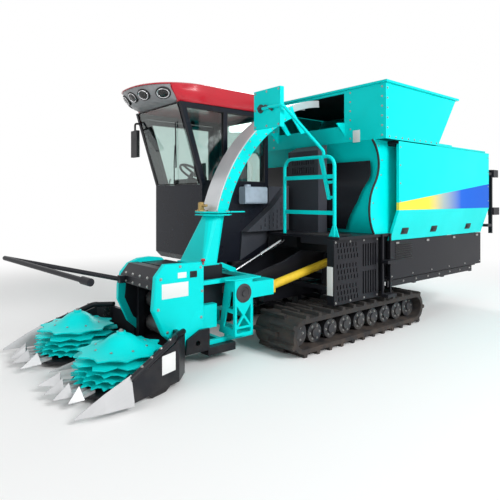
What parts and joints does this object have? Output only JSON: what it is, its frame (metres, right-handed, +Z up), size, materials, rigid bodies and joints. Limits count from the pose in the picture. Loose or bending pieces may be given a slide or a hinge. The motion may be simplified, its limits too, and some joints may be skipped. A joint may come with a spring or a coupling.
{
  "type": "forage harvester",
  "caption": "Tracked self-propelled forage harvester: rotor header with pointed dividers, chopper and swan-neck spout, side cab, hopper and rear bale chamber with opening covers.",
  "frame": {"origin": "on the ground under the middle of the machine's box", "axes": "+X forward, +Y to the machine's left, +Z up"},
  "size_m": [6.3903, 2.35, 2.845],
  "materials": {
    "cyan_paint": "gloss paint on sheet steel",
    "black_paint": "satin black paint",
    "grey_steel": "worn bare steel",
    "wheel_steel": "dusty black paint",
    "engine_iron": "rough casting",
    "track_rubber": "dusty moulded rubber",
    "pale_plastic": "translucent moulded plastic",
    "cab_paint": "satin blue-black paint",
    "tinted_glass": "green-tinted safety glass",
    "red_paint": "gloss red paint",
    "silver_paint": "silver-white paint",
    "lamp_glass": "clear lamp lens",
    "black_plastic": "moulded plastic",
    "seat_cloth": "woven seat cover",
    "yellow_plastic": "yellow shaft guard",
    "bright_steel": "plated rod"
  },
  "bodies": {
    "chassis": {"track_left": "track_rubber", "track_right": "track_rubber", "track_wheels": "wheel_steel", "track_beams": "black_paint", "chassis_frame": "black_paint", "engine_block": "engine_iron", "deck": "black_paint", "side_cover_left": "black_paint", "steps_left": "black_paint", "engine_cover": "black_paint", "side_guard": "black_paint", "tank": "pale_plastic", "handrail": "cyan_paint", "guide_plate": "cyan_paint", "bin_sides": "cyan_paint", "bin_lining": "black_paint", "hopper": "cyan_paint", "box_frame": "black_paint", "box_panels": "cyan_paint", "bale_chamber": "grey_steel", "skirts": "black_paint", "lamp_stands": "black_paint", "cab_base": "cab_paint", "cab_left": "cab_paint", "cab_right": "cab_paint", "cab_front": "cab_paint", "cab_rear": "cab_paint", "cab_panes": "tinted_glass", "cab_roof": "red_paint", "visor": "silver_paint", "work_lamps": "lamp_glass", "mirror_right": "black_plastic", "seat_pads": "seat_cloth", "cab_fittings": "black_plastic"},
    "header": {"header_pan": "black_paint", "divider_points": "silver_paint", "throat": "black_paint", "chopper_housing": "black_paint", "chopper_covers": "cyan_paint", "duct": "cyan_paint", "spout_sides": "cyan_paint", "spout_liner": "silver_paint", "hitch_frame": "cyan_paint", "lift_arms": "black_paint", "drive_shaft": "yellow_plastic", "push_bar": "black_paint", "tow_lug": "black_paint"},
    "lift_barrel": {"cylinder_barrel": "black_paint"},
    "lift_rod": {"cylinder_rod": "bright_steel"},
    "rotor_left": {"rotor_left": "cyan_paint"},
    "rotor_right": {"rotor_right": "cyan_paint"},
    "feed_roll_lower": {"feed_roll_lower": "grey_steel"},
    "feed_roll_upper": {"feed_roll_upper": "grey_steel"},
    "cab_door": {"cab_door": "cab_paint", "door_pane": "tinted_glass"},
    "upper_cover_left": {"upper_cover_left": "cyan_paint"},
    "upper_cover_right": {"upper_cover_right": "cyan_paint"},
    "lower_cover_left": {"lower_cover_left": "black_paint"},
    "lower_cover_right": {"lower_cover_right": "black_paint"},
    "tailgate": {"tailgate": "cyan_paint"}
  },
  "joints": [
    {"name": "header_lift", "type": "hinge", "parent": "chassis", "child": "header", "pos_m": [0, 0.22, 0.83], "axis": [0, -1, 0], "range_deg": [0, 10]},
    {"name": "lift_barrel_turn", "type": "hinge", "parent": "chassis", "child": "lift_barrel", "pos_m": [0.4, 0.18, 0.43], "axis": [0, -1, 0], "range_deg": [-1, 16]},
    {"name": "lift_rod_slide", "type": "slide", "parent": "lift_barrel", "child": "lift_rod", "axis": [0.9914, 0, -0.1308], "range_m": [-0.005, 0.09]},
    {"name": "rotor_left_spin", "type": "hinge", "parent": "header", "child": "rotor_left", "pos_m": [2.6, 0.515, 0.25], "axis": [0, 0, 1], "continuous": true},
    {"name": "rotor_right_spin", "type": "hinge", "parent": "header", "child": "rotor_right", "pos_m": [2.6, -0.465, 0.25], "axis": [0, 0, 1], "continuous": true},
    {"name": "feed_roll_lower_spin", "type": "hinge", "parent": "header", "child": "feed_roll_lower", "pos_m": [1.965, 0.18, 0.29], "axis": [0, 1, 0], "continuous": true},
    {"name": "feed_roll_upper_spin", "type": "hinge", "parent": "header", "child": "feed_roll_upper", "pos_m": [1.965, 0.18, 0.53], "axis": [0, 1, 0], "continuous": true},
    {"name": "cab_door_hinge", "type": "hinge", "parent": "chassis", "child": "cab_door", "pos_m": [0.524, -1.134, 1.8], "axis": [0, 0, -1], "range_deg": [0, 75]},
    {"name": "upper_cover_left_hinge", "type": "hinge", "parent": "chassis", "child": "upper_cover_left", "pos_m": [-1.63, 1.1325, 2.172], "axis": [1, 0, 0], "range_deg": [0, 75]},
    {"name": "upper_cover_right_hinge", "type": "hinge", "parent": "chassis", "child": "upper_cover_right", "pos_m": [-1.63, -1.1325, 2.172], "axis": [-1, 0, 0], "range_deg": [0, 75]},
    {"name": "lower_cover_left_hinge", "type": "hinge", "parent": "chassis", "child": "lower_cover_left", "pos_m": [-1.63, 1.0125, 0.606], "axis": [-1, 0, 0], "range_deg": [0, 90]},
    {"name": "lower_cover_right_hinge", "type": "hinge", "parent": "chassis", "child": "lower_cover_right", "pos_m": [-1.63, -1.0125, 0.606], "axis": [1, 0, 0], "range_deg": [0, 90]},
    {"name": "tailgate_hinge", "type": "hinge", "parent": "chassis", "child": "tailgate", "pos_m": [-2.185, 0, 2.165], "axis": [0, 1, 0], "range_deg": [0, 70]}
  ],
  "couplings": [
    {"joint": "lift_barrel_turn", "follows": "header_lift", "ratio": 1.524},
    {"joint": "lift_rod_slide", "follows": "header_lift", "m_per_rad": 0.40063},
    {"joint": "rotor_right_spin", "follows": "rotor_left_spin", "ratio": -1},
    {"joint": "feed_roll_upper_spin", "follows": "feed_roll_lower_spin", "ratio": -1}
  ]
}
